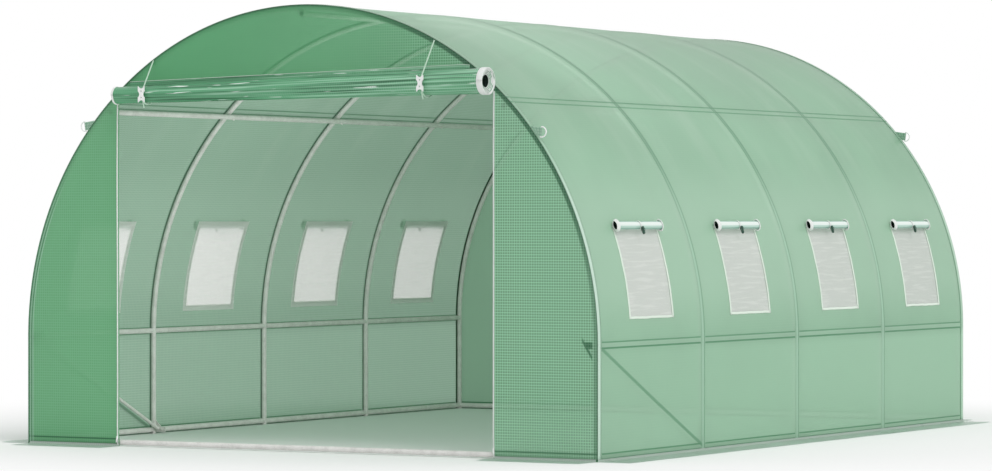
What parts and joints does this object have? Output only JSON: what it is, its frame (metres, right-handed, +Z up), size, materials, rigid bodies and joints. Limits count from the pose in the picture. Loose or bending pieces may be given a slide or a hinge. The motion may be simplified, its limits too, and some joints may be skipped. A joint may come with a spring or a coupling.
{
  "type": "polytunnel greenhouse",
  "caption": "Arched walk-in polytunnel greenhouse: tubular steel hoops under a green ripstop film cover, with a rolled-up end door, netted roll-up side windows and ground flaps.",
  "frame": {"origin": "on the ground, under the middle of the tunnel: the middle of the bounding box's underside", "axes": "+Z up, +Y from the doorway end to the closed end (the doorway faces -Y), +X to the right when facing the doorway"},
  "size_m": [3.32, 4.32, 2],
  "materials": {
    "galvanised_steel": "zinc-coated, satin",
    "green_film": "translucent polyethylene film with a ripstop grid, slightly glossy",
    "window_net": "fine white insect net",
    "white_plastic": "moulded, satin",
    "pale_cord": "pale green woven cord",
    "dark_cord": "dark green cord and toggle"
  },
  "bodies": {
    "root": {"front_hoop": "galvanised_steel", "second_hoop": "galvanised_steel", "middle_hoop": "galvanised_steel", "fourth_hoop": "galvanised_steel", "rear_hoop": "galvanised_steel", "ridge_purlin": "galvanised_steel", "left_shoulder_purlin": "galvanised_steel", "right_shoulder_purlin": "galvanised_steel", "left_waist_rail": "galvanised_steel", "right_waist_rail": "galvanised_steel", "left_base_rail": "galvanised_steel", "right_base_rail": "galvanised_steel", "front_base_rail": "galvanised_steel", "rear_base_rail": "galvanised_steel", "left_brace": "galvanised_steel", "right_brace": "galvanised_steel", "left_brace_clips": "galvanised_steel", "right_brace_clips": "galvanised_steel", "left_wall_film": "green_film", "right_wall_film": "green_film", "left_window_film": "green_film", "right_window_film": "green_film", "left_roof_film": "green_film", "right_roof_film": "green_film", "front_left_film": "green_film", "front_right_film": "green_film", "front_header_film": "green_film", "rear_film": "green_film", "left_ground_flap": "green_film", "right_ground_flap": "green_film", "front_left_ground_flap": "green_film", "front_right_ground_flap": "green_film", "rear_ground_flap": "green_film", "left_window_nets": "window_net", "right_window_nets": "window_net", "left_window_rolls": "green_film", "right_window_rolls": "green_film", "left_window_ties": "dark_cord", "right_window_ties": "dark_cord", "rolled_door": "green_film", "door_ties": "pale_cord", "door_toggles": "white_plastic", "door_zips": "white_plastic", "guy_tabs": "green_film", "guy_rings": "white_plastic"}
  },
  "joints": []
}
